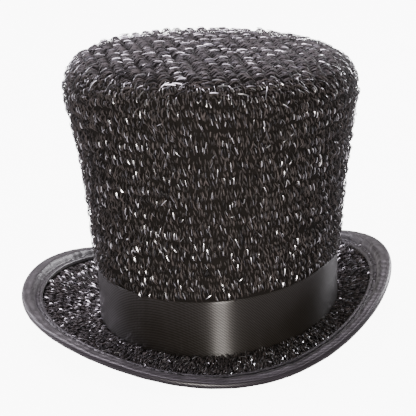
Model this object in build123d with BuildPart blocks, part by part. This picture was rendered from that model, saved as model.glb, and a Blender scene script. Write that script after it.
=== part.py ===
from build123d import *
from math import atan2, cos, hypot, pi, radians, sin, sqrt
import os

# Flared top hat: a chunky knit cover over a stiff crown and brim, a satin band, and a brim
# bound in satin and curled up at its sides.
#
# Millimetres. -Y is the front, +X the wearer's left, +Z up. The origin is in the middle of the
# brim's outline, on the surface that the hat stands on.

os.makedirs("parts", exist_ok=True)

# ---------------------------------------------------------------- driving dimensions

# Head opening, an oval 570 mm round: a 57 cm hat.
head_half_width = 80.0
head_half_depth = 100.0

# Plies of the crown wall, from the head outwards.
sweatband_thickness = 1.0
lining_thickness = 0.5
lining_ease = 0.2
tape_thickness = 0.8
crown_board = 1.2
knit_thickness = 3.6
knit_pressed = 1.4
band_thickness = 0.8

# Crown. Its oval grows with height by the flare times (height share) ** flare_power.
crown_x = 8.8
crown_height = 185.5
side_flare = 20.8
front_flare = 15.2
flare_power = 1.9
crown_lean = 2.5
tip_tilt_side = 1.9
tip_tilt_front = 1.0
shoulder_radius = 30.0
tip_seam_drop = 12.0
skirt = 24.0

# Brim outline, and the plies of the brim from the top down.
brim_half_width = 132.6
brim_half_depth = 154.8
brim_knit = 2.6
brim_board = 1.4
under_cloth = 0.8

# Heights of the brim's upper face. Its middle is a plane that slopes across the hat with a
# slight saddle, and its edge is a mean height plus one wave for each number of humps.
brim_slope = 0.075
seam_saddle = 2.2
curl_power = 1.8
edge_mean = 12.0
edge_left_lift = 4.9
edge_saddle = 14.1
edge_twist = -3.1
edge_left_curl = 3.1
edge_corners = -1.4

# Binding of the brim's edge.
binding_width = 13.0
binding_tape = 0.6

# Wires, each once round the hat, with a small angle left between its ends and the middle of
# the back.
wire_gap = 0.002
edge_wire_diameter = 1.5
edge_wire_clearance = 0.5
headline_wire_diameter = crown_board
tip_wire_diameter = 1.6
joiner_length = 10.0
joiner_bore = 1.7
joiner_diameter = 2.3

# Band round the crown, and its lapped join at the back.
band_height = 37.5
join_width = 16.0
join_thickness = 0.9

# Inside of the hat.
sweatband_height = 34.0
reed_diameter = sweatband_thickness
lining_height = 140.0
tape_height = 13.0
bow_half_width = 11.0
bow_half_height = 5.0
bow_thickness = 1.2
bow_height = 14.0
bow_knot = 4.0

# Stitches, as small bars of thread.
thread = 0.5
binding_stitch_length = 3.0
binding_stitch_count = 132
binding_stitch_inset = 1.6
sweatband_stitch_length = 3.0
sweatband_stitch_count = 72
sweatband_stitch_height = 3.0
tack_length = 1.8
tack_count = 14
tack_inset = 1.2

# ---------------------------------------------------------------- sizes that follow

# Distance of each ply's faces out from the head opening.
lining_in = sweatband_thickness
lining_out = lining_in + lining_thickness
tape_in = lining_out + lining_ease
board_in = tape_in + tape_thickness
board_out = board_in + crown_board
band_in = board_out + knit_pressed
band_out = band_in + band_thickness
knit_out = board_out + knit_thickness

# Levels of the brim's plies, measured down from its upper face.
board_top = -brim_knit
board_bottom = board_top - brim_board
brim_bottom = board_bottom - under_cloth

# The oval where the band meets the brim.
seam_half_width = head_half_width + band_out
seam_half_depth = head_half_depth + band_out

# How far the plies stop short of the brim's edge, to leave room for the wire in the binding.
ply_inset = binding_tape + edge_wire_diameter + edge_wire_clearance


def edge_height(angle):
    """Height of the brim's edge at an angle round it, as a sum of waves."""
    return (
        edge_mean
        + edge_left_lift * cos(angle)
        + edge_saddle * cos(2 * angle)
        + edge_twist * sin(2 * angle)
        + edge_left_curl * cos(3 * angle)
        + edge_corners * cos(4 * angle)
    )


def brim_height(x, y):
    """Height of the brim's upper face over the foot of the crown, at a place in plan.

    The sloping plane turns into the edge's own height as a power of the way across the brim.
    """
    across = (x - crown_x) / seam_half_width
    along = y / seam_half_depth
    plane_height = brim_slope * (x - crown_x) + seam_saddle * (across**2 - along**2)
    from_crown = hypot(across, along)
    if from_crown <= 1:
        return plane_height
    from_middle = hypot(x / brim_half_width, y / brim_half_depth)
    share = (from_crown - 1) / (from_crown - from_middle)
    angle = atan2(y / brim_half_depth, x / brim_half_width)
    return plane_height + share**curl_power * (edge_height(angle) - plane_height)


def on_edge(angle, inset):
    """Plan place at an angle round the brim, a distance in from its edge."""
    return (brim_half_width - inset) * cos(angle), (brim_half_depth - inset) * sin(angle)


def on_crown(angle, out):
    """Plan place at an angle round the foot of the crown, a distance out from the head."""
    x = crown_x + (head_half_width + out) * cos(angle)
    return x, (head_half_depth + out) * sin(angle)


def turns(count):
    """Equal angles round a full turn."""
    return [2 * pi * number / count for number in range(count)]


# The foot of the crown stands so high that the brim's lowest place just touches Z = 0.
lowest_edge = min(brim_height(*on_edge(angle, 0)) for angle in turns(360))
crown_base = binding_tape - brim_bottom - lowest_edge

# ---------------------------------------------------------------- shared forms


def crown_plane(height):
    """Plane of the crown's oval at a height over its foot."""
    share = max(height, 0.0) / crown_height
    place = (crown_x + crown_lean * share, 0, crown_base + height)
    tilt = (tip_tilt_front * share**2, tip_tilt_side * share**2, 0)
    return Plane(Location(place, tilt))


def crown_oval(height, out):
    """Half width and half depth of the crown at a height, for a face a distance out."""
    grown = (max(height, 0.0) / crown_height) ** flare_power
    return head_half_width + out + side_flare * grown, head_half_depth + out + front_flare * grown


def crown_form(out):
    """Solid crown whose wall lies a distance out from the head, with a rounded shoulder."""
    depth_in = knit_out - out
    top = crown_height - depth_in
    heights = [-skirt, 0.0] + [top * share for share in (0.2, 0.4, 0.6, 0.8, 1.0)]
    with BuildPart() as form:
        for height in heights:
            with BuildSketch(crown_plane(height)):
                Ellipse(*crown_oval(height, out))
        loft()
        rim = form.faces().sort_by(Axis.Z)[-1].edges()
        fillet(rim, shoulder_radius - depth_in)
    return form.part


def brim_face():
    """The brim's upper face, as one smooth face wider than the brim."""
    steps = 24
    reach = 1.03
    rows = []
    for i in range(steps + 1):
        x = brim_half_width * reach * (2 * i / steps - 1)
        row = []
        for j in range(steps + 1):
            y = brim_half_depth * reach * (2 * j / steps - 1)
            row.append(Vector(x, y, crown_base + brim_height(x, y)))
        rows.append(row)
    return Face.make_surface_from_array_of_points(rows, tol=0.1, min_deg=3, max_deg=3)


upper_face = brim_face()


def brim_slab(low, high):
    """Everything between two levels of the brim, measured straight down from its upper face."""
    with BuildPart() as slab:
        extrude(Pos(0, 0, low) * upper_face, amount=high - low, dir=(0, 0, 1))
    return slab.part


def brim_layer(low, high, inset):
    """A layer of the brim between two levels, out to an inset from its edge."""
    with BuildPart() as layer:
        add(brim_slab(low, high))
        with BuildSketch(Plane.XY.offset(-skirt)):
            Ellipse(brim_half_width - inset, brim_half_depth - inset)
        extrude(amount=crown_height, mode=Mode.INTERSECT)
    return layer.part


def brim_ply(low, high, crown):
    """A ply of the brim, from the crown's form out to the fold of the binding."""
    with BuildPart() as ply:
        add(brim_layer(low, high, ply_inset))
        add(crown, mode=Mode.SUBTRACT)
    return ply.part


def crown_wall(outer, inner, low, high):
    """A ring of the crown's wall between two forms and two levels of the brim."""
    with BuildPart() as wall:
        add(outer)
        add(inner, mode=Mode.SUBTRACT)
        add(brim_slab(low, high), mode=Mode.INTERSECT)
    return wall.part


def wire_ring(point_at, diameter):
    """A round wire once round the hat, its two ends nearly meeting at the back."""
    steps = 48
    start = pi / 2 + wire_gap
    turn = 2 * pi - 2 * wire_gap
    with BuildPart() as ring:
        with BuildLine() as path:
            Spline(*[point_at(start + turn * number / steps) for number in range(steps + 1)])
        with BuildSketch(Plane(origin=path.line @ 0, z_dir=path.line % 0)):
            Circle(diameter / 2)
        sweep(path=path.line)
    return ring.part


def brim_plane(place, ahead, level):
    """Plane on the brim at a plan place, moved to a level, its X towards the place ahead."""
    x, y = place
    step = 0.5
    rise_x = (brim_height(x + step, y) - brim_height(x - step, y)) / (2 * step)
    rise_y = (brim_height(x, y + step) - brim_height(x, y - step)) / (2 * step)
    run_x = ahead[0] - x
    run_y = ahead[1] - y
    along = Vector(run_x, run_y, rise_x * run_x + rise_y * run_y)
    origin = (x, y, crown_base + brim_height(x, y) + level)
    return Plane(origin=origin, x_dir=along, z_dir=Vector(-rise_x, -rise_y, 1))


def wall_plane(angle, out, height):
    """Plane on the crown's wall over the brim, its X round the wall and its Z outwards."""
    x, y = on_crown(angle, out)
    half_width = head_half_width + out
    half_depth = head_half_depth + out
    grown = (max(height + brim_height(x, y), 0.0) / crown_height) ** flare_power
    origin = (
        x + side_flare * grown * cos(angle),
        y + front_flare * grown * sin(angle),
        crown_base + brim_height(x, y) + height,
    )
    around = Vector(-half_width * sin(angle), half_depth * cos(angle), 0)
    outwards = Vector(half_depth * cos(angle), half_width * sin(angle), 0)
    return Plane(origin=origin, x_dir=around, z_dir=outwards)


def bars(planes, length):
    """Equal bars of thread lying on planes."""
    with BuildPart() as group:
        with Locations(*[plane.offset(thread / 2).location for plane in planes]):
            Box(length, thread, thread)
    return group.part


head_form = crown_form(0.0)
lining_form = crown_form(lining_in)
lining_outer_form = crown_form(lining_out)
tape_form = crown_form(tape_in)
board_form = crown_form(board_in)
knit_form = crown_form(board_out)
band_form = crown_form(band_in)
band_outer_form = crown_form(band_out)
outer_form = crown_form(knit_out)
tip_seam = crown_plane(crown_height - tip_seam_drop)

# ---------------------------------------------------------------- crown

with BuildPart() as crown_side_cover:
    add(outer_form)
    add(knit_form, mode=Mode.SUBTRACT)
    split(bisect_by=tip_seam, keep=Keep.BOTTOM)
    add(brim_slab(-2 * skirt, 0), mode=Mode.SUBTRACT)
    add(crown_wall(outer_form, band_form, -skirt / 2, band_height), mode=Mode.SUBTRACT)
crown_side_cover.part.label = "crown_side_cover"
export_step(crown_side_cover.part, "parts/crown_side_cover.step")

with BuildPart() as crown_tip_cover:
    add(outer_form)
    add(knit_form, mode=Mode.SUBTRACT)
    split(bisect_by=tip_seam, keep=Keep.TOP)
crown_tip_cover.part.label = "crown_tip_cover"
export_step(crown_tip_cover.part, "parts/crown_tip_cover.step")

with BuildPart() as crown_side_board:
    add(knit_form)
    add(board_form, mode=Mode.SUBTRACT)
    split(bisect_by=tip_seam, keep=Keep.BOTTOM)
    add(brim_slab(-2 * skirt, board_top + headline_wire_diameter), mode=Mode.SUBTRACT)
crown_side_board.part.label = "crown_side_board"
export_step(crown_side_board.part, "parts/crown_side_board.step")

with BuildPart() as crown_tip_board:
    add(knit_form)
    add(board_form, mode=Mode.SUBTRACT)
    split(bisect_by=tip_seam, keep=Keep.TOP)
crown_tip_board.part.label = "crown_tip_board"
export_step(crown_tip_board.part, "parts/crown_tip_board.step")

# The tip wire holds the oval open just under the shoulder, against the board.
tip_wire_height = crown_height - knit_out - shoulder_radius
tip_wire_width, tip_wire_depth = crown_oval(tip_wire_height, board_in - tip_wire_diameter / 2)


def tip_wire_point(angle):
    """Point of the tip wire's line at an angle round the crown."""
    place = (tip_wire_width * cos(angle), tip_wire_depth * sin(angle), 0)
    return crown_plane(tip_wire_height).from_local_coords(place)


crown_tip_wire = wire_ring(tip_wire_point, tip_wire_diameter)
crown_tip_wire.label = "crown_tip_wire"
export_step(crown_tip_wire, "parts/crown_tip_wire.step")

# ---------------------------------------------------------------- brim

brim_top_cover = brim_ply(board_top, 0, knit_form)
brim_top_cover.label = "brim_top_cover"
export_step(brim_top_cover, "parts/brim_top_cover.step")

brim_stiffener = brim_ply(board_bottom, board_top, board_form)
brim_stiffener.label = "brim_stiffener"
export_step(brim_stiffener, "parts/brim_stiffener.step")

brim_under_cover = brim_ply(brim_bottom, board_bottom, board_form)
brim_under_cover.label = "brim_under_cover"
export_step(brim_under_cover, "parts/brim_under_cover.step")

# A tape inside the crown joins the crown's board to the brim's.
join_tape = crown_wall(board_form, tape_form, brim_bottom, tape_height)
join_tape.label = "join_tape"
export_step(join_tape, "parts/join_tape.step")

# The binding is one tape folded over the edge: on top, round the edge, and underneath.
with BuildPart() as brim_binding:
    add(brim_layer(brim_bottom - binding_tape, binding_tape, 0))
    with BuildSketch(Plane.XY.offset(-skirt)):
        Ellipse(brim_half_width - binding_width, brim_half_depth - binding_width)
    extrude(amount=crown_height, mode=Mode.SUBTRACT)
    add(brim_layer(brim_bottom, 0, binding_tape), mode=Mode.SUBTRACT)
brim_binding.part.label = "brim_binding"
export_step(brim_binding.part, "parts/brim_binding.step")

edge_wire_inset = binding_tape + (edge_wire_diameter + edge_wire_clearance) / 2
edge_wire_level = brim_bottom / 2


def edge_wire_point(angle):
    """Point of the edge wire's line at an angle round the brim."""
    return brim_plane(on_edge(angle, edge_wire_inset), (0, 0), edge_wire_level).origin


brim_edge_wire = wire_ring(edge_wire_point, edge_wire_diameter)
brim_edge_wire.label = "brim_edge_wire"
export_step(brim_edge_wire, "parts/brim_edge_wire.step")

# A ferrule closes the edge wire at the back of the brim.
joiner_angle = pi / 2
joiner_step = 0.02
joiner_run = edge_wire_point(joiner_angle + joiner_step) - edge_wire_point(joiner_angle - joiner_step)
with BuildPart() as brim_wire_joiner:
    with BuildSketch(Plane(origin=edge_wire_point(joiner_angle), z_dir=joiner_run)):
        Circle(joiner_diameter / 2)
        Circle(joiner_bore / 2, mode=Mode.SUBTRACT)
    extrude(amount=joiner_length / 2, both=True)
brim_wire_joiner.part.label = "brim_wire_joiner"
export_step(brim_wire_joiner.part, "parts/brim_wire_joiner.step")


def headline_wire_point(angle):
    """Point of the headline wire's line, which lies on the brim board round the crown's tape."""
    x, y = on_crown(angle, board_in + headline_wire_diameter / 2)
    return Vector(x, y, crown_base + brim_height(x, y) + board_top + headline_wire_diameter / 2)


headline_wire = wire_ring(headline_wire_point, headline_wire_diameter)
headline_wire.label = "headline_wire"
export_step(headline_wire, "parts/headline_wire.step")

# One row of stitches holds the binding's turned edge down on the knit.
stitch_inset = binding_width - binding_stitch_inset
stitch_ahead = pi / binding_stitch_count
binding_stitches = bars(
    [
        brim_plane(on_edge(angle, stitch_inset), on_edge(angle + stitch_ahead, stitch_inset), binding_tape)
        for angle in turns(binding_stitch_count)
    ],
    binding_stitch_length,
)
binding_stitches.label = "binding_stitches"
export_step(binding_stitches, "parts/binding_stitches.step")

# ---------------------------------------------------------------- band

hat_band = crown_wall(band_outer_form, band_form, 0, band_height)
hat_band.label = "hat_band"
export_step(hat_band, "parts/hat_band.step")

# The band's ends lap under a folded piece at the back.
join_out = band_out + join_thickness
with BuildPart() as hat_band_join:
    add(crown_wall(crown_form(join_out), band_outer_form, 0, band_height))
    with Locations((crown_x, head_half_depth, crown_base)):
        Box(join_width, head_half_depth, crown_height, mode=Mode.INTERSECT)
hat_band_join.part.label = "hat_band_join"
export_step(hat_band_join.part, "parts/hat_band_join.step")

tack_angles = [angle + pi / tack_count for angle in turns(tack_count)]
hat_band_tacks = bars(
    [
        wall_plane(angle, band_out, height)
        for angle in tack_angles
        for height in (tack_inset, band_height - tack_inset)
    ],
    tack_length,
)
hat_band_tacks.label = "hat_band_tacks"
export_step(hat_band_tacks, "parts/hat_band_tacks.step")

# ---------------------------------------------------------------- inside

sweatband = crown_wall(lining_form, head_form, brim_bottom + reed_diameter, sweatband_height)
sweatband.label = "sweatband"
export_step(sweatband, "parts/sweatband.step")


def reed_point(angle):
    """Point of the reed's line, along the lower edge of the sweatband."""
    x, y = on_crown(angle, sweatband_thickness / 2)
    return Vector(x, y, crown_base + brim_height(x, y) + brim_bottom + reed_diameter / 2)


sweatband_reed = wire_ring(reed_point, reed_diameter)
sweatband_reed.label = "sweatband_reed"
export_step(sweatband_reed, "parts/sweatband_reed.step")

sweatband_stitches = bars(
    [
        wall_plane(angle, 0.0, sweatband_stitch_height).offset(-thread)
        for angle in turns(sweatband_stitch_count)
    ],
    sweatband_stitch_length,
)
sweatband_stitches.label = "sweatband_stitches"
export_step(sweatband_stitches, "parts/sweatband_stitches.step")

# A flat bow marks the back of the sweatband.
bow_drop = head_half_depth * (1 - sqrt(1 - (bow_half_width / head_half_width) ** 2))
bow_plane = Plane(
    origin=(crown_x, head_half_depth - bow_drop, crown_base + bow_height),
    x_dir=(1, 0, 0),
    z_dir=(0, -1, 0),
)
with BuildPart() as sweatband_bow:
    with BuildSketch(bow_plane):
        Polygon((0, 0), (bow_half_width, bow_half_height), (bow_half_width, -bow_half_height), align=None)
        Polygon((0, 0), (-bow_half_width, bow_half_height), (-bow_half_width, -bow_half_height), align=None)
    extrude(amount=bow_thickness)
    with BuildSketch(bow_plane.offset(-bow_drop)):
        Rectangle(bow_knot, bow_knot)
    extrude(amount=bow_drop + bow_thickness + thread)
sweatband_bow.part.label = "sweatband_bow"
export_step(sweatband_bow.part, "parts/sweatband_bow.step")

lining_top = crown_plane(lining_height)
with BuildPart() as lining_side:
    add(lining_outer_form)
    add(lining_form, mode=Mode.SUBTRACT)
    split(bisect_by=lining_top, keep=Keep.BOTTOM)
    add(brim_slab(-2 * skirt, brim_bottom), mode=Mode.SUBTRACT)
lining_side.part.label = "lining_side"
export_step(lining_side.part, "parts/lining_side.step")

with BuildPart() as lining_tip:
    add(lining_outer_form)
    split(bisect_by=lining_top, keep=Keep.TOP)
    split(bisect_by=lining_top.offset(lining_thickness), keep=Keep.BOTTOM)
lining_tip.part.label = "lining_tip"
export_step(lining_tip.part, "parts/lining_tip.step")
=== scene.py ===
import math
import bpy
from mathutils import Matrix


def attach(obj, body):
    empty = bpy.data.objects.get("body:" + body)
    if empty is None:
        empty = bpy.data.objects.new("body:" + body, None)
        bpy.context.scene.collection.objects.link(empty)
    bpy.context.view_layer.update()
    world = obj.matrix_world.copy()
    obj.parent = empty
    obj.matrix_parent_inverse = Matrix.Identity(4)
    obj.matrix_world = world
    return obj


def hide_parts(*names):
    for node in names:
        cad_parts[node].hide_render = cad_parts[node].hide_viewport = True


bl_info = {
    "name": "Flared top hat",
    "version": (1, 0, 0),
    "blender": (4, 5, 0),
    "location": "View3D > Sidebar > Top hat",
    "description": "Dresses a flared top hat in sparkling rib knit and satin",
    "category": "Object",
}

import bpy
import numpy as np
from mathutils import Matrix, Vector

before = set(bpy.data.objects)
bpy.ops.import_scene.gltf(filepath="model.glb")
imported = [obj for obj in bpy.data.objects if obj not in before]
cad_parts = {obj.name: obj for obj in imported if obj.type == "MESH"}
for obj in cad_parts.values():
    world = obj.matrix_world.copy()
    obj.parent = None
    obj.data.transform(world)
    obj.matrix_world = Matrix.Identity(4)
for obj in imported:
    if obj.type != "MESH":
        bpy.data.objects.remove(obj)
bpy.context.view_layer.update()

# ---------------------------------------------------------------- settings


def length(name, value, words):
    """A setting in metres."""
    return bpy.props.FloatProperty(
        name=name, description=words, default=value, unit="LENGTH", subtype="DISTANCE", precision=5
    )


def number(name, value, words):
    """A plain setting."""
    return bpy.props.FloatProperty(name=name, description=words, default=value, precision=4)


def count(name, value, words):
    """A whole-number setting."""
    return bpy.props.IntProperty(name=name, description=words, default=value)


class TopHatShape(bpy.types.PropertyGroup):
    """Sizes of the crown and the brim."""

    crown_x: length("Crown offset", 0.0088, "Middle of the crown, along X from the brim's middle")
    crown_height: length("Crown height", 0.1855, "Height of the crown over its foot")
    half_width: length("Half width", 0.0871, "Half width of the knit at the foot of the crown")
    half_depth: length("Half depth", 0.1071, "Half depth of the knit at the foot of the crown")
    side_flare: length("Side flare", 0.0208, "Growth of the half width up to the top")
    front_flare: length("Front flare", 0.0152, "Growth of the half depth up to the top")
    flare_power: number("Flare power", 1.9, "Power of the height that the flare follows")
    lean: length("Lean", 0.0025, "How far the top stands to one side of the foot")
    tilt_side: number("Side tilt", 1.9, "Fall of the top towards +X, in degrees")
    tilt_front: number("Front tilt", 1.0, "Rise of the top towards +Y, in degrees")
    shoulder_rise: length("Shoulder rise", 0.0292, "Height of the rounded shoulder")
    shoulder_run: length("Shoulder run", 0.034, "Width of the rounded shoulder")
    dome: length("Dome", 0.003, "Rise of the middle of the tip over its rim")
    brim_half_width: length("Brim half width", 0.1326, "Half width of the brim")
    brim_half_depth: length("Brim half depth", 0.1548, "Half depth of the brim")
    brim_slope: number("Brim slope", 0.075, "Rise of the brim's middle along X")
    seam_saddle: length("Seam saddle", 0.0022, "Saddle of the brim's middle")
    curl_power: number("Curl power", 1.8, "Power of the way across that the brim's curl follows")
    bulge_left: length("Left bulge", 0.0016, "Fullness of the knit under the shoulder on -X")
    bulge_right: length("Right bulge", 0.0014, "Fullness of the knit half way up on +X")
    seam_half_width: length("Seam half width", 0.0857, "Half width where the band meets the brim")
    seam_half_depth: length("Seam half depth", 0.1057, "Half depth where the band meets the brim")
    stack: length("Brim thickness", 0.0048, "Thickness of the brim's plies")
    tape: length("Tape", 0.0006, "Thickness of the binding's tape")
    band_height: length("Band height", 0.0375, "Height of the band round the crown")


class TopHatKnit(bpy.types.PropertyGroup):
    """Stitches of the knit."""

    depth: length("Depth", 0.0030, "Height of a rib over the valley beside it")
    rows: count("Side ribs", 17, "Ribs between the band and the tip")
    strands: count("Strands", 350, "Strands side by side round one rib of the crown")
    brim_rows: count("Brim ribs", 6, "Ribs across the brim")
    brim_strands: count("Brim strands", 400, "Strands side by side round one rib of the brim")
    tip_pitch: length("Tip pitch", 0.0086, "Distance between two ribs of the tip")
    strand_pitch: length("Strand pitch", 0.0019, "Distance between two strands of the tip")
    yarn: length("Yarn", 0.00112, "Width of a strand")
    filament: length("Filament", 0.00042, "Width of a metallic filament")
    side_reach: length("Side strand", 0.0056, "Length of a strand of the crown's side")
    tip_reach: length("Tip strand", 0.0084, "Length of a strand of the tip")
    brim_reach: length("Brim strand", 0.0052, "Length of a strand of the brim")


class TopHatStage(bpy.types.PropertyGroup):
    """Camera and the floor's glow."""

    distance: length("Distance", 1.0411, "Camera's distance from the point that it looks at")
    elevation: number("Elevation", 15.34, "Camera's height over the horizon, in degrees")
    yaw: number("Yaw", 8.6, "Camera's turn to the left of the front, in degrees")
    roll: number("Roll", -2.93, "Camera's roll, in degrees")
    focal: number("Focal length", 124.8, "Camera's focal length, in millimetres")
    sweep: number("Sweep", 9.0, "Glow of the floor, as of a lit white sweep")


# ---------------------------------------------------------------- forms


def edge_height(angle):
    """Height of the brim's edge over the foot of the crown: a mean plus a few waves."""
    return 0.001 * (
        12.0
        + 4.9 * np.cos(angle)
        + 14.1 * np.cos(2 * angle)
        - 3.1 * np.sin(2 * angle)
        + 3.1 * np.cos(3 * angle)
        - 1.4 * np.cos(4 * angle)
    )


def foot_height(hat):
    """Height of the foot of the crown, so that the brim's lowest place stands on the floor."""
    lowest = edge_height(np.linspace(0, 2 * math.pi, 721)).min()
    return hat.tape + hat.stack - lowest


def brim_width(angle):
    """Width of the brim, which turns a length across it into a share: a mean less two waves."""
    return 0.0475 - 0.0088 * np.cos(angle) - 0.0012 * np.cos(2 * angle)


def brim_height(hat, x, y):
    """Height of the brim's upper face over the foot of the crown.

    The sloping middle turns into the edge's height as a power of the way across the brim.
    """
    across = (x - hat.crown_x) / hat.seam_half_width
    along = y / hat.seam_half_depth
    plane = hat.brim_slope * (x - hat.crown_x) + hat.seam_saddle * (across**2 - along**2)
    from_crown = np.hypot(across, along)
    from_middle = np.hypot(x / hat.brim_half_width, y / hat.brim_half_depth)
    share = np.clip(from_crown - 1, 0, None) / np.maximum(from_crown - from_middle, 1e-6)
    angle = np.arctan2(y / hat.brim_half_depth, x / hat.brim_half_width)
    return plane + share**hat.curl_power * (edge_height(angle) - plane)


def square_to(height, x, y, out):
    """Places a distance out of a height field, square to it."""
    step = 0.0004
    rise_x = (height(x + step, y) - height(x - step, y)) / (2 * step)
    rise_y = (height(x, y + step) - height(x, y - step)) / (2 * step)
    size = np.sqrt(1 + rise_x**2 + rise_y**2)
    z = height(x, y)
    return np.stack([x - out * rise_x / size, y - out * rise_y / size, z + out / size], -1)


def brim_place(hat, turn, share, out):
    """A place over the brim: once round by turn, from the crown to the edge by share."""
    angle = 2 * math.pi * turn
    x_in = hat.crown_x + hat.seam_half_width * np.cos(angle)
    y_in = hat.seam_half_depth * np.sin(angle)
    x_out = hat.brim_half_width * np.cos(angle)
    y_out = hat.brim_half_depth * np.sin(angle)
    x = x_in + (x_out - x_in) * share
    y = y_in + (y_out - y_in) * share
    place = square_to(lambda a, b: brim_height(hat, a, b), x, y, out)
    place[..., 2] += foot_height(hat)
    return place


def crown_oval(hat, height):
    """Half width and half depth of the knit at a height."""
    grown = (np.clip(height, 0, None) / hat.crown_height) ** hat.flare_power
    return hat.half_width + hat.side_flare * grown, hat.half_depth + hat.front_flare * grown


def lean_over(hat, x, y, z):
    """Leans and tilts a place of the crown; both grow towards the top."""
    share = np.clip(z / hat.crown_height, 0, None)
    fall = math.tan(math.radians(hat.tilt_side)) * x
    rise = math.tan(math.radians(hat.tilt_front)) * y
    z = z + share**2 * (rise - fall)
    return np.stack([x + hat.crown_x + hat.lean * share, y, z + foot_height(hat)], -1)


def bell(height, middle, spread):
    """A bell over the height: e to the power of minus the squared way from its middle."""
    return np.exp(-(((height - middle) / spread) ** 2))


def crown_place(hat, turn, along, out):
    """A place on the crown: once round by turn, up the wall and over the shoulder by along.

    The shoulder is a quarter of an oval, and each bulge is a bell on its own side.
    """
    angle = 2 * math.pi * turn
    wall = hat.crown_height - hat.shoulder_rise
    bend = (hat.shoulder_rise + hat.shoulder_run) / 2
    phi = np.clip((along - wall) / bend, 0, math.pi / 2)
    height = np.minimum(along, wall) + hat.shoulder_rise * np.sin(phi)
    half_width, half_depth = crown_oval(hat, height)
    left = hat.bulge_left * bell(height, middle=0.152, spread=0.016)
    right = hat.bulge_right * bell(height, middle=0.120, spread=0.050)
    out = out + left * np.clip(-np.cos(angle), 0, 1) ** 2 + right * np.clip(np.cos(angle), 0, 1) ** 2
    inwards = -hat.shoulder_run * (1 - np.cos(phi)) + out * np.cos(phi)
    x = (half_width + inwards) * np.cos(angle)
    y = (half_depth + inwards) * np.sin(angle)
    return lean_over(hat, x, y, height + out * np.sin(phi))


def tip_height(hat, x, y):
    """Height of the tip over the foot: flat with a slight dome, and round at its rim.

    The crown's oval grows with the height, so the two are worked out in turn a few times.
    """
    height = np.full_like(x, hat.crown_height)
    rounds = 4
    for _ in range(rounds):
        half_width, half_depth = crown_oval(hat, height)
        reach = np.hypot(x / half_width, y / half_depth)
        radius = np.hypot(x, y) / np.maximum(reach, 1e-6)
        inset = np.clip((1 - reach) * radius, 0, None)
        bent = np.sqrt(np.clip(1 - (1 - inset / hat.shoulder_run) ** 2, 0, 1))
        round_part = hat.crown_height - hat.shoulder_rise + hat.shoulder_rise * bent
        height = np.where(inset < hat.shoulder_run, round_part, hat.crown_height)
    flat = reach * radius / np.maximum(radius - hat.shoulder_run, 1e-6)
    return height + hat.dome * np.clip(1 - flat**2, 0, 1)


def tip_place(hat, x, y, out):
    """A place on the tip."""
    place = square_to(lambda a, b: tip_height(hat, a, b), x, y, out)
    return lean_over(hat, place[..., 0], place[..., 1], place[..., 2])


# ---------------------------------------------------------------- meshes


def once_round(columns):
    """Turns of a grid's columns, evenly once round."""
    return np.linspace(0, 1, columns + 1)[None, :-1]


def column(values):
    """Values down a grid, one for each of its rows."""
    return np.array(values)[:, None]


def grid_faces(rows, columns, closed):
    """Quads of a grid of points, its columns joined round if it is closed."""
    i = np.arange(rows - 1)[:, None]
    j = np.arange(columns if closed else columns - 1)[None, :]
    beside = (j + 1) % columns
    corners = [
        i * columns + j,
        i * columns + beside,
        (i + 1) * columns + beside,
        (i + 1) * columns + j,
    ]
    return np.stack(corners, -1).reshape(-1, 4)


def sheet_part(points):
    """A part out of one grid of points that is joined round, with an even shade."""
    return (points, grid_faces(points.shape[0], points.shape[1], True), 0, np.float32(0.5))


def make_piece(name, parts, materials, replaced):
    """One object out of parts: each is (points, quads, material number, shade of each point)."""
    grids, faces, numbers, shades = zip(*parts)
    starts = np.cumsum([0] + [grid.reshape(-1, 3).shape[0] for grid in grids[:-1]])
    points = np.concatenate([grid.reshape(-1, 3) for grid in grids])
    quads = np.concatenate([quad + start for quad, start in zip(faces, starts)])
    number = np.concatenate([np.full(len(quad), value) for quad, value in zip(faces, numbers)])
    shade = np.concatenate(
        [np.broadcast_to(value, grid.shape[:-1]).reshape(-1) for value, grid in zip(shades, grids)]
    )
    mesh = bpy.data.meshes.new(name)
    mesh.vertices.add(len(points))
    mesh.vertices.foreach_set("co", points.astype(np.float32).ravel())
    mesh.loops.add(4 * len(quads))
    mesh.loops.foreach_set("vertex_index", quads.astype(np.int32).ravel())
    mesh.polygons.add(len(quads))
    mesh.polygons.foreach_set("loop_start", np.arange(0, 4 * len(quads), 4, dtype=np.int32))
    mesh.polygons.foreach_set("use_smooth", np.ones(len(quads), bool))
    mesh.polygons.foreach_set("material_index", number.astype(np.int32))
    layer = mesh.attributes.new("shade", "FLOAT", "POINT")
    layer.data.foreach_set("value", shade.astype(np.float32))
    for material in materials:
        mesh.materials.append(material)
    mesh.update(calc_edges=True)
    mesh.validate()
    piece = bpy.data.objects.new(name, mesh)
    bpy.context.scene.collection.objects.link(piece)
    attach(piece, "root")
    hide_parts(*replaced)
    return piece


def each(values):
    """Values of one strand each, shaped to spread over the points of that strand."""
    return np.asarray(values)[:, None, None]


def laid_grids(place, u, v, per_u, per_v, turned, along, across, out):
    """Small grids, each at its own place and turned a little from square, and their quads."""
    du = (along * np.sin(each(turned)) + across * np.cos(each(turned))) * each(per_u)
    dv = (along * np.cos(each(turned)) - across * np.sin(each(turned))) * each(per_v)
    points = place(each(u) + du, each(v) + dv, out + 0 * du)
    total, rows, columns = points.shape[:3]
    base = np.arange(total)[:, None, None] * rows * columns
    return points, (grid_faces(rows, columns, False)[None] + base).reshape(-1, 4)


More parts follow.
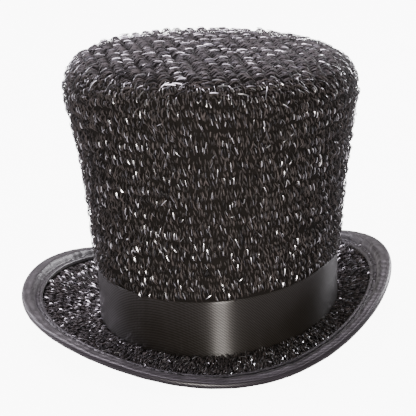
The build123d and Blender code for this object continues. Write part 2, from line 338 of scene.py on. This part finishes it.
def strand_field(place, u, v, per_u, per_v, turned, half_length, half_width, crest, depth):
    """Half-round strands, each arching over a rib.

    A strand runs across its rib, turned a little from square. Its middle line rises from the
    valley to the crest as one less the square of the way along it, to a power, and its sides
    drop away. It is widest half way along.
    """
    end_width, swell = 0.55, 0.45
    arch_power = 0.7
    side_drop = 0.9
    t = np.linspace(-1, 1, 4)[None, :, None]
    side = np.array([-1.0, 0.0, 1.0])[None, None, :]
    across = side * each(half_width) * (end_width + swell * (1 - t**2))
    along = t * each(half_length) + 0 * side
    arch = np.clip(1 - t**2, 0, 1) ** arch_power
    out = each(crest) - depth * (1 - arch) - side_drop * np.abs(across)
    return laid_grids(place, u, v, per_u, per_v, turned, along, across, out)


def filament_field(place, u, v, per_u, per_v, turned, half_length, half_width, crest, twist, sag):
    """Flat filaments lying over the strands, each rolled a little to one side.

    A filament falls from its middle to its ends by the square of the way along it.
    """
    t = np.linspace(-1, 1, 4)[None, :, None]
    side = np.array([-1.0, 1.0])[None, None, :]
    across = side * each(half_width) + 0 * t
    along = t * each(half_length) + 0 * side
    out = each(crest) - sag * t**2 + np.sin(each(twist)) * across
    return laid_grids(place, u, v, per_u, per_v, turned, along, across, out)


# ---------------------------------------------------------------- materials


def new_material(name):
    """A material with an empty principled shader; gives its nodes, links and shader."""
    material = bpy.data.materials.new(name)
    material.use_nodes = True
    nodes = material.node_tree.nodes
    return material, nodes, material.node_tree.links, nodes["Principled BSDF"]


def set_shader(shader, **values):
    """Sets constants on a shader's own sockets."""
    for name, value in values.items():
        shader.inputs[name.replace("_", " ")].default_value = value


def weave_group():
    """Node group: a fine over-and-under weave as a height and a bump, and a slow unevenness.

    The height is the sum of two sets of waves, from 0 where both dip under to 2 where both lie
    on top.
    """
    if "Fine weave" in bpy.data.node_groups:
        return bpy.data.node_groups["Fine weave"]
    group = bpy.data.node_groups.new("Fine weave", "ShaderNodeTree")
    group.interface.new_socket("Threads", in_out="INPUT", socket_type="NodeSocketFloat")
    group.interface.new_socket("Strength", in_out="INPUT", socket_type="NodeSocketFloat")
    group.interface.new_socket("Normal", in_out="OUTPUT", socket_type="NodeSocketVector")
    group.interface.new_socket("Uneven", in_out="OUTPUT", socket_type="NodeSocketFloat")
    group.interface.new_socket("Height", in_out="OUTPUT", socket_type="NodeSocketFloat")
    nodes, links = group.nodes, group.links
    source = nodes.new("NodeGroupInput")
    result = nodes.new("NodeGroupOutput")
    where = nodes.new("ShaderNodeTexCoord")
    both = nodes.new("ShaderNodeMath")
    both.operation = "ADD"
    for socket, direction in zip(both.inputs, ("DIAGONAL", "Z")):
        wave = nodes.new("ShaderNodeTexWave")
        wave.wave_type = "BANDS"
        wave.bands_direction = direction
        wave.inputs["Distortion"].default_value = 0.6
        links.new(where.outputs["Object"], wave.inputs["Vector"])
        links.new(source.outputs["Threads"], wave.inputs["Scale"])
        links.new(wave.outputs["Fac"], socket)
    cloud = nodes.new("ShaderNodeTexNoise")
    cloud.inputs["Scale"].default_value = 60
    bump = nodes.new("ShaderNodeBump")
    bump.inputs["Distance"].default_value = 0.00002
    links.new(where.outputs["Object"], cloud.inputs["Vector"])
    links.new(both.outputs[0], bump.inputs["Height"])
    links.new(both.outputs[0], result.inputs["Height"])
    links.new(source.outputs["Strength"], bump.inputs["Strength"])
    links.new(bump.outputs["Normal"], result.inputs["Normal"])
    links.new(cloud.outputs["Fac"], result.inputs["Uneven"])
    return group


def cloth_material(name, dark, light, threads, strength, rough, sheen=0.0, specular=0.5):
    """Woven cloth: two tones by a slow unevenness, with a fine weave on its surface."""
    material, nodes, links, shader = new_material(name)
    weave = nodes.new("ShaderNodeGroup")
    weave.node_tree = weave_group()
    weave.inputs["Threads"].default_value = threads
    weave.inputs["Strength"].default_value = strength
    tone = nodes.new("ShaderNodeMix")
    tone.data_type = "RGBA"
    tone.inputs[6].default_value = (*dark, 1)
    tone.inputs[7].default_value = (*light, 1)
    links.new(weave.outputs["Uneven"], tone.inputs["Factor"])
    links.new(tone.outputs[2], shader.inputs["Base Color"])
    links.new(weave.outputs["Normal"], shader.inputs["Normal"])
    set_shader(shader, Roughness=rough, Sheen_Weight=sheen, Specular_IOR_Level=specular)
    return material


def thread_material(name, dark, light, fibres, strength, **finish):
    """A thread: as light as its shade says, with fine noise as a bump."""
    material, nodes, links, shader = new_material(name)
    shade = nodes.new("ShaderNodeAttribute")
    shade.attribute_name = "shade"
    ramp = nodes.new("ShaderNodeValToRGB")
    ramp.color_ramp.elements[0].color = (*dark, 1)
    ramp.color_ramp.elements[1].color = (*light, 1)
    where = nodes.new("ShaderNodeTexCoord")
    fibre = nodes.new("ShaderNodeTexNoise")
    fibre.inputs["Scale"].default_value = fibres
    bump = nodes.new("ShaderNodeBump")
    bump.inputs["Strength"].default_value = strength
    bump.inputs["Distance"].default_value = 0.0002
    links.new(shade.outputs["Fac"], ramp.inputs["Fac"])
    links.new(ramp.outputs["Color"], shader.inputs["Base Color"])
    links.new(where.outputs["Object"], fibre.inputs["Vector"])
    links.new(fibre.outputs["Fac"], bump.inputs["Height"])
    links.new(bump.outputs["Normal"], shader.inputs["Normal"])
    set_shader(shader, **finish)
    return material


def yarn_material(name):
    """Dark yarn: brown-grey and fibrous, with a dull gloss."""
    dark, light = (0.0065, 0.0055, 0.0048), (0.074, 0.062, 0.058)
    return thread_material(
        name, dark, light, fibres=2200, strength=0.6, Roughness=0.5, Specular_IOR_Level=0.38
    )


def lurex_material(name):
    """Metallic filament: silver and slightly crimped."""
    dark, light = (0.05, 0.05, 0.055), (0.9, 0.9, 0.92)
    return thread_material(name, dark, light, fibres=900, strength=0.5, Metallic=1.0, Roughness=0.3)


def once(maker, name, **values):
    """A material by name, made the first time that it is asked for."""
    return bpy.data.materials.get(name) or maker(name, **values)


def knit_materials():
    """Yarn, filament and the dark cloth behind them."""
    dark, light = (0.008, 0.007, 0.006), (0.016, 0.014, 0.012)
    return [
        once(yarn_material, "Yarn"),
        once(lurex_material, "Lurex"),
        once(
            cloth_material,
            "Backing",
            dark=dark,
            light=light,
            threads=900,
            strength=0.5,
            rough=0.9,
            specular=0.1,
        ),
    ]


def twill_gloss(material, dull, bright):
    """Gives the threads that lie on top a higher gloss than the ones that dip under."""
    nodes, links = material.node_tree.nodes, material.node_tree.links
    weave = next(node for node in nodes if node.type == "GROUP")
    gloss = nodes.new("ShaderNodeMapRange")
    gloss.inputs["From Min"].default_value = 0.5
    gloss.inputs["From Max"].default_value = 1.5
    gloss.inputs["To Min"].default_value = dull
    gloss.inputs["To Max"].default_value = bright
    links.new(weave.outputs["Height"], gloss.inputs["Value"])
    links.new(gloss.outputs["Result"], nodes["Principled BSDF"].inputs["Specular IOR Level"])


def satin_material(name):
    """Black satin: its threads run round the hat, so they draw a highlight out across them."""
    dark, light = (0.0135, 0.0115, 0.0092), (0.0170, 0.0145, 0.0118)
    material = cloth_material(name, dark, light, threads=330, strength=0.6, rough=0.38)
    twill_gloss(material, dull=0.09, bright=0.32)
    nodes, links = material.node_tree.nodes, material.node_tree.links
    around = nodes.new("ShaderNodeTangent")
    around.direction_type = "RADIAL"
    around.axis = "Z"
    shader = nodes["Principled BSDF"]
    links.new(around.outputs["Tangent"], shader.inputs["Tangent"])
    set_shader(shader, Anisotropic=0.9, Anisotropic_Rotation=0.25, IOR=2.1)
    return material


def edge_satin_material(name):
    """Satin of the binding: unevenly greyed, without the band's drawn-out highlight."""
    dark, light = (0.006, 0.005, 0.006), (0.028, 0.022, 0.031)
    material = cloth_material(name, dark, light, threads=330, strength=0.9, rough=0.36, sheen=0.15)
    twill_gloss(material, dull=0.2, bright=1.0)
    return material


def metal_material(name, dark, light):
    """Drawn metal with a faint grain."""
    material = cloth_material(name, dark, light, threads=3000, strength=0.1, rough=0.35)
    set_shader(material.node_tree.nodes["Principled BSDF"], Metallic=1.0)
    return material


def satin():
    """Satin ribbon of the band."""
    return once(satin_material, "Satin")


def edge_satin():
    """Satin ribbon of the binding."""
    return once(edge_satin_material, "Edge satin")


def lining_cloth():
    """Smooth lining."""
    return once(
        cloth_material,
        "Lining",
        dark=(0.016, 0.016, 0.018),
        light=(0.03, 0.03, 0.033),
        threads=1200,
        strength=0.2,
        rough=0.45,
        sheen=0.2,
        specular=0.4,
    )


def board():
    """Buckram board, brown-grey and coarse."""
    return once(
        cloth_material,
        "Board",
        dark=(0.09, 0.08, 0.07),
        light=(0.15, 0.14, 0.12),
        threads=500,
        strength=0.8,
        rough=0.8,
        specular=0.2,
    )


def plain_cloth():
    """Plain dark cloth."""
    return once(
        cloth_material,
        "Plain cloth",
        dark=(0.014, 0.014, 0.015),
        light=(0.03, 0.029, 0.03),
        threads=800,
        strength=0.6,
        rough=0.75,
        sheen=0.2,
        specular=0.25,
    )


# ---------------------------------------------------------------- pieces


def knit_parts(place, u, v, per_u, per_v, rng, knit, reach, lift, glitter, spread_out, gloss):
    """Strands and filaments of a knit at given places, with their unevenness.

    Each strand has its own turn, length, width, height and shade, as normal draws round the
    knit's own. A share of the strands, the glitter, carries a filament.
    """
    strand_lean, length_spread, width_spread = math.radians(-7), 0.16, 0.22
    height_spread, strand_rise = 0.00045, 0.0004
    middle_shade, shade_spread = 0.42, 0.30
    total = len(u)
    jitter = rng.normal(0, 1, (6, total))
    turned = strand_lean + math.radians(spread_out) * jitter[0]
    half_length = reach / 2 * np.clip(1 + length_spread * jitter[1], 0.5, 1.5)
    half_width = knit.yarn / 2 * np.clip(1 + width_spread * jitter[2], 0.5, 1.6)
    crest = lift + height_spread * np.clip(jitter[3], -2, 1.6) + strand_rise
    shade = np.clip(middle_shade + shade_spread * jitter[4], 0, 1)
    drop = knit.depth * reach / knit.tip_reach
    points, quads = strand_field(
        place, u, v, per_u, per_v, turned, half_length, half_width, crest, drop
    )
    strands = (points, quads, 0, shade[:, None, None])
    filament_lean, filament_spread = math.radians(-10), math.radians(15)
    stray_share, stray_turn = 0.06, 1.1
    filament_rise, sag, most_twist = 0.00035, 0.0005, 0.7
    some = rng.random(total) < glitter
    few = int(some.sum())
    spread = rng.normal(0, 1, (5, few))
    points, quads = filament_field(
        place,
        u[some] + spread[0] * 0.0005 * per_u[some],
        v[some] + spread[1] * 0.0009 * per_v[some],
        per_u[some],
        per_v[some],
        filament_lean + filament_spread * spread[2] + (rng.random(few) < stray_share) * stray_turn,
        reach * (0.27 + 0.09 * np.abs(spread[3])),
        knit.filament / 2 * (0.8 + 0.5 * rng.random(few)),
        crest[some] + filament_rise,
        spread[4] * most_twist,
        sag,
    )
    glint = np.clip(gloss * rng.random(few) ** 1.6, 0, 1)
    filaments = (points, quads, 1, glint[:, None, None])
    return [strands, filaments]


def backing(place, u, v, out):
    """The dark cloth behind a knit, as one grid that is joined round."""
    grid = place(u, v, np.full(np.broadcast(u, v).shape, out))
    return (grid, grid_faces(grid.shape[0], grid.shape[1], True), 2, np.float32(0.2))


def seam_height(hat, turn):
    """Height of the brim where the band meets it."""
    angle = 2 * math.pi * turn
    x = hat.crown_x + hat.seam_half_width * np.cos(angle)
    return brim_height(hat, x, hat.seam_half_depth * np.sin(angle))


def build_crown_side(hat, knit):
    """Ribs of the crown's side, once round it, from the band up over the shoulder.

    A row of strands on each rib alternates with a lower one in the valley beside it, and slow
    waves bend the ribs.
    """
    over_shoulder, backing_depth = 0.031, 0.0019
    valley_drop, valley_glitter, rib_glitter = 0.0013, 0.10, 0.50
    turn_spread, row_spread = 0.0008, 0.10
    long_wave, short_wave = 0.12, 0.10
    foot_girth, girth_growth = 0.612, 0.11
    rng = np.random.default_rng(3)
    top = hat.crown_height - hat.shoulder_rise + over_shoulder

    def side_place(turn, row, out):
        start = hat.band_height + seam_height(hat, turn)
        return crown_place(hat, turn, start + row * (top - start), out)

    rows = np.arange(2 * knit.rows)[:, None]
    stitch = np.arange(knit.strands)[None, :]
    grid = (2 * knit.rows, knit.strands)
    turn = (stitch + 0.5 * (rows // 2 % 2)) / knit.strands + rng.normal(0, turn_spread, grid)
    slow = rng.random((knit.rows, 2)).repeat(2, 0)
    wave = long_wave * np.sin(2 * math.pi * (3 * turn + slow[:, :1]))
    wave += short_wave * np.sin(2 * math.pi * (11 * turn + slow[:, 1:]))
    row = (rows / 2 + 0.4 + wave + rng.normal(0, row_spread, grid)) / knit.rows
    valley = (rows % 2) + 0 * turn
    lift = -valley_drop * valley
    glitter = np.where(valley > 0, valley_glitter, rib_glitter)
    girth = foot_girth + girth_growth * row
    run = (top - hat.band_height) * np.ones_like(row)
    parts = knit_parts(
        side_place,
        turn.ravel(),
        row.ravel(),
        (1 / girth).ravel(),
        (1 / run).ravel(),
        rng,
        knit,
        knit.side_reach,
        lift.ravel(),
        glitter.ravel(),
        spread_out=13,
        gloss=1.3,
    )
    across = once_round(240)
    level = np.linspace(-0.02, 1.0, 40)[:, None]
    parts.append(backing(side_place, across + 0 * level, level + 0 * across, -backing_depth))
    return make_piece("crown_side_knit", parts, knit_materials(), ["crown_side_cover"])


def build_tip(hat, knit):
    """Ribs of the tip, which run from front to back and wander a little from side to side."""
    rib_margin, backing_margin, backing_drop = 0.009, 0.007, 0.0002
    wander, wander_length = 0.0009, 0.07
    side_spread, front_spread = 0.0007, 0.0003
    lift_spread, mean_drop = 0.0005, 0.0003
    rng = np.random.default_rng(5)
    half_width, half_depth = crown_oval(hat, np.array(hat.crown_height))
    columns = np.arange(-13, 14) * knit.tip_pitch
    stitches = np.arange(-half_depth, half_depth, knit.strand_pitch)
    x, y = np.meshgrid(columns, stitches, indexing="ij")
    x = x + wander * np.sin(2 * math.pi * (y / wander_length + rng.random((len(columns), 1))))
    x = x + rng.normal(0, side_spread, x.shape)
    y = y + rng.normal(0, front_spread, y.shape)
    keep = np.hypot(x / (half_width - rib_margin), y / (half_depth - rib_margin)) < 1
    x, y = x[keep], y[keep]
    one = np.ones_like(x)

    def place(along, across, out):
        return tip_place(hat, across, along, out)

    lift = rng.normal(0, lift_spread, x.shape) - mean_drop
    parts = knit_parts(
        place, y, x, one, one, rng, knit, knit.tip_reach, lift, glitter=0.42, spread_out=10, gloss=1.15
    )
    angle = once_round(240) * 2 * math.pi
    reach = np.linspace(0.0005, 1, 40)[:, None]
    grid_x = reach * (half_width - backing_margin) * np.cos(angle)
    grid_y = reach * (half_depth - backing_margin) * np.sin(angle)
    parts.append(backing(place, grid_y, grid_x, -knit.depth - backing_drop))
    return make_piece("crown_tip_knit", parts, knit_materials(), ["crown_tip_cover"])


def build_brim_top(hat, knit):
    """Ribs of the brim, once round it, between the band and the binding."""
    first_share, share_run, backing_lift = 0.03, 0.69, 0.0008
    valley_drop, valley_glitter, rib_glitter = 0.0012, 0.22, 0.68
    turn_spread, share_spread = 0.0006, 0.012
    inner_girth, girth_growth = 0.62, 0.29
    rng = np.random.default_rng(7)

    def place(turn, share, out):
        return brim_place(hat, turn, share, out)

    rows = np.arange(2 * knit.brim_rows)[:, None]
    stitch = np.arange(knit.brim_strands)[None, :]
    grid = (2 * knit.brim_rows, knit.brim_strands)
    turn = (stitch + 0.5 * (rows // 2 % 2)) / knit.brim_strands + rng.normal(0, turn_spread, grid)
    share = first_share + share_run * (rows + 0.5) / (2 * knit.brim_rows)
    share = share + rng.normal(0, share_spread, grid)
    width = brim_width(2 * math.pi * turn)
    girth = inner_girth + girth_growth * share
    lift = -valley_drop * (rows % 2) + 0 * turn
    glitter = np.where(lift < 0, valley_glitter, rib_glitter)
    parts = knit_parts(
        place,
        turn.ravel(),
        share.ravel(),
        (1 / girth).ravel(),
        (1 / width).ravel(),
        rng,
        knit,
        knit.brim_reach,
        lift.ravel(),
        glitter.ravel(),
        spread_out=14,
        gloss=1.9,
    )
    across = once_round(360)
    level = np.linspace(-0.02, 0.86, 20)[:, None]
    parts.append(backing(place, across + 0 * level, level + 0 * across, -knit.depth + backing_lift))
    return make_piece("brim_knit", parts, knit_materials(), ["brim_top_cover"])


def build_band(hat):
    """Satin band: a smooth ribbon round the crown, its upper edge turned in, slightly slack.

    Its foot flares out a little and runs on below the knit of the brim.
    """
    foot_flare, depth = 0.0008, 0.0014
    slow_slack, fine_slack = 0.00018, 0.00002
    turn = once_round(720)
    angle = 2 * math.pi * turn
    foot = [-0.075, -0.03, 0.004, 0.010]
    face = [0.05, 0.15, 0.3, 0.5, 0.7, 0.85, 0.95]
    turned_in = [0.99, 1.0, 1.0, 0.996]
    level = column(foot + face + turned_in)
    inset = column([0.0] * len(foot + face) + [0.0001, 0.0004, 0.0009, 0.0014])
    middle = np.sin(math.pi * np.clip(level, 0, 1))
    slack = slow_slack * np.sin(5 * angle + 2 * level) + fine_slack * np.sin(23 * angle - 5 * level)
    flare = foot_flare * (1 - np.clip(level, 0, 1))
    out = -depth - inset + slack * middle + flare
    along = seam_height(hat, turn) + level * hat.band_height
    points = crown_place(hat, turn + 0 * level, along, out)
    replaced = ["hat_band", "hat_band_tacks"]
    return make_piece("band_ribbon", [sheet_part(points)], [satin()], replaced)


def build_binding(hat):
    """Satin binding: a ribbon folded over the brim's edge, puckered by its stitches.

    Its section runs over the upper face, round the edge as half a circle, and back under the
    lower face. Waves of five lengths pucker it, most half way across each face.
    """
    edge_loss, stitch_inset, pucker_reach, most_rise_below = 0.0012, 0.0070, 0.0080, 0.0001
    turn = once_round(1080)
    angle = 2 * math.pi * turn
    half = (hat.stack + 2 * hat.tape - edge_loss) / 2
    steps = np.linspace(math.pi / 2, -math.pi / 2, 15)[:, None]
    over = 0.001 * column([14.0, 13.7, 13.2, 12.4, 11.6, 10.8, 10.0, 9.2, 8.0, 6.5, 5.0, 3.6])
    rise = 0.001 * column([-1.2, 0.6, 1.3, 1.3, 0.4, -0.8, -1.3, -0.6, 1.0, 2.0, 2.1, 1.5])
    below = 0.001 * column([0.6, 0.6, 0.5, 0.4, 0.2, 0.0, -0.2, -0.4, -0.5, -0.6, -0.6, -0.6])
    inset = np.concatenate([over, half * (1 - np.cos(steps)), over[::-1]])
    middle = (edge_loss - hat.stack) / 2
    out = np.concatenate([rise, middle + half * np.sin(steps), -hat.stack - below[::-1]])
    rng = np.random.default_rng(11)
    slack = np.zeros_like(angle)
    for waves, size in ((17, 0.00030), (29, 0.00022), (53, 0.00018), (88, 0.00012), (131, 0.00007)):
        slack = slack + size * np.sin(waves * angle + 6.28 * rng.random() + 90 * inset)
    weight = np.clip(1 - np.abs(inset - stitch_inset) / pucker_reach, 0, 1)
    slack = np.where(out < -hat.stack / 2, np.clip(slack, -most_rise_below, None), slack)
    out = out + np.sign(out + hat.stack / 2) * slack * weight
    share = 1 - inset / brim_width(angle)
    points = brim_place(hat, turn + 0 * share, share, out + 0 * share)
    return make_piece(
        "binding_ribbon", [sheet_part(points)], [edge_satin()], ["brim_binding"]
    )


def build_brim_board(hat):
    """Stiffener of the brim: a board between the knit and the cloth under it."""
    upper, lower, steps = -0.0028, -0.0040, 24
    turn = once_round(360)
    run = np.linspace(-0.03, 0.95, steps)
    share = np.concatenate([run, run[::-1], run[:1]])[:, None]
    out = column([upper] * steps + [lower] * steps + [upper])
    points = brim_place(hat, turn + 0 * share, share + 0 * turn, out + 0 * turn)
    return make_piece("brim_board", [sheet_part(points)], [board()], ["brim_stiffener"])


def build_under(hat):
    """Plain cloth under the brim, with the faint ridges of the board behind it."""
    inside_crown, last_share = 0.0050, 0.93
    seam_drop, drop_run = 0.0005, 0.04
    gap, ridge = 0.00005, 0.00012
    turn = once_round(480)
    angle = 2 * math.pi * turn
    inner = -inside_crown / brim_width(angle)
    share = inner + (last_share - inner) * np.linspace(0, 1, 40)[:, None]
    out = -hat.stack - gap + ridge * np.sin(40 * angle) * np.sin(23 * share)
    out = out - seam_drop * np.clip(-share / drop_run, 0, 1)
    points = brim_place(hat, turn + 0 * share, share + 0 * turn, out)
    part = sheet_part(points[:, ::-1])
    return make_piece("under_cloth", [part], [plain_cloth()], ["brim_under_cover"])


def inner_face(hat):
    """How far the inside of the crown lies from the knit's face, as a distance out."""
    head_half_width = 0.080
    return -(hat.half_width - head_half_width)


def build_lining(hat):
    """Pleated lining: a wall of folds that deepen upwards, and a flat top drawn to its middle."""
    first, top, gap = -0.0045, 0.14, 0.0012
    folds, fold_depth, tip_fold_depth = 31, 0.0008, 0.0006
    turn = once_round(360)
    angle = 2 * math.pi * turn
    along = np.linspace(first, top, 60)[:, None]
    fold = fold_depth * np.sin(folds * angle + 2.0 * np.sin(3 * angle)) * np.clip(along / top, 0, 1)
    out = inner_face(hat) + gap - np.abs(fold)
    side = crown_place(hat, turn + 0 * along, along + seam_height(hat, turn) * (1 - along / top), out)
    reach = np.linspace(1.0, 0.02, 30)[:, None]
    rim = side[-1]
    middle = rim.mean(0)
    tip = middle + (rim[None] - middle) * reach[..., None]
    tip[..., 2] += tip_fold_depth * np.sin(folds * 2 * math.pi * turn) * reach
    parts = [sheet_part(side[:, ::-1]), sheet_part(tip[:, ::-1])]
    replaced = ["lining_side", "lining_tip"]
    return make_piece("lining_cloth", parts, [lining_cloth()], replaced)


def build_sweatband(hat):
    """Sweatband: a ribbon with fine ribs that lies against the foot of the lining."""
    rib_height, rib_waves = 0.00012, 900
    turn = once_round(360)
    level = np.linspace(-0.0035, 0.034, 24)[:, None]
    out = inner_face(hat) - rib_height * np.sin(rib_waves * level) + 0 * turn
    points = crown_place(hat, turn + 0 * level, level + seam_height(hat, turn), out)
    replaced = ["sweatband", "sweatband_reed"]
    return make_piece(
        "sweatband_ribbon",
        [sheet_part(points[:, ::-1])],
        [plain_cloth()],
        replaced,
    )


# ---------------------------------------------------------------- operators


class PieceOperator:
    """What the operators share: they build from the scene's settings."""

    bl_options = {"REGISTER", "UNDO"}

    def execute(self, context):
        self.build(context.scene.top_hat_shape, context.scene.top_hat_knit)
        return {"FINISHED"}


class TOPHAT_OT_crown_side(PieceOperator, bpy.types.Operator):
    """Knit of the crown's side"""

    bl_idname = "tophat.crown_side"
    bl_label = "Crown side"

    def build(self, hat, knit):
        build_crown_side(hat, knit)


class TOPHAT_OT_tip(PieceOperator, bpy.types.Operator):
    """Knit of the crown's tip"""

    bl_idname = "tophat.tip"
    bl_label = "Tip"

    def build(self, hat, knit):
        build_tip(hat, knit)


class TOPHAT_OT_brim(PieceOperator, bpy.types.Operator):
    """Knit over the brim, the board in it and the cloth under it"""

    bl_idname = "tophat.brim"
    bl_label = "Brim"

    def build(self, hat, knit):
        build_brim_top(hat, knit)
        build_brim_board(hat)
        build_under(hat)


class TOPHAT_OT_ribbons(PieceOperator, bpy.types.Operator):
    """Satin band and binding"""

    bl_idname = "tophat.ribbons"
    bl_label = "Ribbons"

    def build(self, hat, knit):
        build_band(hat)
        build_binding(hat)


class TOPHAT_OT_inside(PieceOperator, bpy.types.Operator):
    """Lining and sweatband"""

    bl_idname = "tophat.inside"
    bl_label = "Inside"

    def build(self, hat, knit):
        build_lining(hat)
        build_sweatband(hat)


class TOPHAT_OT_frame(PieceOperator, bpy.types.Operator):
    """Materials of the boards, tapes, wires and stitches"""

    bl_idname = "tophat.frame"
    bl_label = "Frame"

    def build(self, hat, knit):
        grey, pale = (0.02, 0.02, 0.02), (0.05, 0.05, 0.05)
        thread = cloth_material("Thread", grey, pale, threads=2500, strength=0.8, rough=0.5, sheen=0.1)
        wire = metal_material("Wire", (0.25, 0.25, 0.26), (0.35, 0.35, 0.36))
        brass = metal_material("Brass", (0.5, 0.38, 0.16), (0.62, 0.48, 0.24))
        looks = {
            "crown_side_board": board(),
            "crown_tip_board": board(),
            "join_tape": plain_cloth(),
            "crown_tip_wire": wire,
            "brim_edge_wire": wire,
            "headline_wire": wire,
            "brim_wire_joiner": brass,
            "binding_stitches": thread,
            "sweatband_stitches": thread,
            "sweatband_bow": satin(),
            "hat_band_join": satin(),
        }
        for name, material in looks.items():
            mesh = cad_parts[name].data
            mesh.materials.clear()
            mesh.materials.append(material)


class TOPHAT_OT_stage(bpy.types.Operator):
    """Floor, lights and camera"""

    bl_idname = "tophat.stage"
    bl_label = "Stage"

    def execute(self, context):
        build_stage(context.scene.top_hat_shape, context.scene.top_hat_stage)
        return {"FINISHED"}


def area_light(name, place, aim, size, size_y, power, colour):
    """A soft rectangular light that faces a place."""
    data = bpy.data.lights.new(name, "AREA")
    data.shape = "RECTANGLE"
    data.size = size
    data.size_y = size_y
    data.energy = power
    data.color = colour
    light = bpy.data.objects.new(name, data)
    light.location = place
    light.rotation_mode = "QUATERNION"
    light.rotation_quaternion = (Vector(aim) - Vector(place)).to_track_quat("-Z", "Y")
    light.visible_camera = False
    bpy.context.scene.collection.objects.link(light)
    return light


def build_floor(stage):
    """Pale floor that shows as a lit sweep to the camera and throws no light of its own."""
    material, nodes, links, shader = new_material("Floor")
    path = nodes.new("ShaderNodeLightPath")
    glow = nodes.new("ShaderNodeMix")
    glow.data_type = "RGBA"
    glow.inputs[6].default_value = (0, 0, 0, 1)
    glow.inputs[7].default_value = (1, 1, 1, 1)
    links.new(path.outputs["Is Camera Ray"], glow.inputs["Factor"])
    links.new(glow.outputs[2], shader.inputs["Emission Color"])
    set_shader(
        shader,
        Base_Color=(0.5, 0.5, 0.5, 1),
        Roughness=0.9,
        Specular_IOR_Level=0.1,
        Emission_Strength=stage.sweep,
    )
    reach = 6
    corners = [(-reach, -reach, 0), (reach, -reach, 0), (reach, reach, 0), (-reach, reach, 0)]
    mesh = bpy.data.meshes.new("floor")
    mesh.from_pydata(corners, [], [(0, 1, 2, 3)])
    mesh.materials.append(material)
    floor = bpy.data.objects.new("floor", mesh)
    bpy.context.scene.collection.objects.link(floor)
    return floor


def build_lights():
    """Soft light from above, a narrow lamp in front and one behind on each side."""
    sun = bpy.data.lights.new("top_light", "SUN")
    sun.energy = 3.7
    sun.angle = math.radians(50)
    sun.color = (0.98, 0.87, 1.0)
    top = bpy.data.objects.new("top_light", sun)
    top.rotation_euler = (math.radians(-24), math.radians(-6), 0)
    bpy.context.scene.collection.objects.link(top)
    warm, lilac, cool = (1.0, 0.93, 0.87), (0.94, 0.89, 1.0), (0.97, 0.95, 1.0)
    return [
        top,
        area_light("front_light", (-0.385, -1.45, 0.22), (0, 0, 0.03), 0.34, 0.50, 22, warm),
        area_light("left_light", (-0.9, 1.1, 0.75), (0, 0, 0.03), 0.7, 0.8, 10, lilac),
        area_light("right_light", (1.15, 0.80, 0.55), (0, 0, 0.06), 0.6, 0.8, 18, cool),
    ]


def build_camera(hat, stage):
    """Camera at its distance from the aim, turned by its yaw, elevation and roll."""
    data = bpy.data.cameras.new("camera")
    data.lens = stage.focal
    data.sensor_width = 36
    data.clip_start = 0.05
    data.clip_end = 50
    camera = bpy.data.objects.new("camera", data)
    yaw, lift, roll = (math.radians(a) for a in (stage.yaw, stage.elevation, stage.roll))
    aim = Vector((0.00495, 0, 0.0696 + float(foot_height(hat))))
    back = Vector((-math.sin(yaw) * math.cos(lift), -math.cos(yaw) * math.cos(lift), math.sin(lift)))
    side = back.cross(Vector((0, 0, -1))).normalized()
    up = back.cross(side)
    right = side * math.cos(roll) + up * math.sin(roll)
    above = up * math.cos(roll) - side * math.sin(roll)
    turned = Matrix((right, above, back)).transposed()
    camera.matrix_world = Matrix.Translation(aim + back * stage.distance) @ turned.to_4x4()
    bpy.context.scene.collection.objects.link(camera)
    bpy.context.scene.camera = camera


def build_stage(hat, stage):
    """Floor, lights, a faint warm world and the camera."""
    floor = build_floor(stage)
    lights = build_lights()
    world = bpy.data.worlds.new("World")
    world.use_nodes = True
    world.node_tree.nodes["Background"].inputs["Color"].default_value = (1.0, 0.97, 0.95, 1)
    world.node_tree.nodes["Background"].inputs["Strength"].default_value = 0.25
    bpy.context.scene.world = world
    build_camera(hat, stage)


class TOPHAT_PT_panel(bpy.types.Panel):
    """Sidebar panel with the settings and the operators"""

    bl_label = "Top hat"
    bl_space_type = "VIEW_3D"
    bl_region_type = "UI"
    bl_category = "Top hat"

    def draw(self, context):
        scene = context.scene
        for group in (scene.top_hat_shape, scene.top_hat_knit, scene.top_hat_stage):
            for name in group.__annotations__:
                self.layout.prop(group, name)
        for step in steps:
            self.layout.operator(step.bl_idname)


steps = (
    TOPHAT_OT_crown_side,
    TOPHAT_OT_tip,
    TOPHAT_OT_brim,
    TOPHAT_OT_ribbons,
    TOPHAT_OT_inside,
    TOPHAT_OT_frame,
    TOPHAT_OT_stage,
)
groups = (TopHatShape, TopHatKnit, TopHatStage)


def register():
    for item in (*groups, *steps, TOPHAT_PT_panel):
        bpy.utils.register_class(item)
    bpy.types.Scene.top_hat_shape = bpy.props.PointerProperty(type=TopHatShape)
    bpy.types.Scene.top_hat_knit = bpy.props.PointerProperty(type=TopHatKnit)
    bpy.types.Scene.top_hat_stage = bpy.props.PointerProperty(type=TopHatStage)


def unregister():
    del bpy.types.Scene.top_hat_shape
    del bpy.types.Scene.top_hat_knit
    del bpy.types.Scene.top_hat_stage
    for item in reversed((*groups, *steps, TOPHAT_PT_panel)):
        bpy.utils.unregister_class(item)


def main():
    """Registers the add-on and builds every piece."""
    register()
    for step in steps:
        space, name = step.bl_idname.split(".")
        getattr(getattr(bpy.ops, space), name)()


if __name__ == "__main__":
    main()
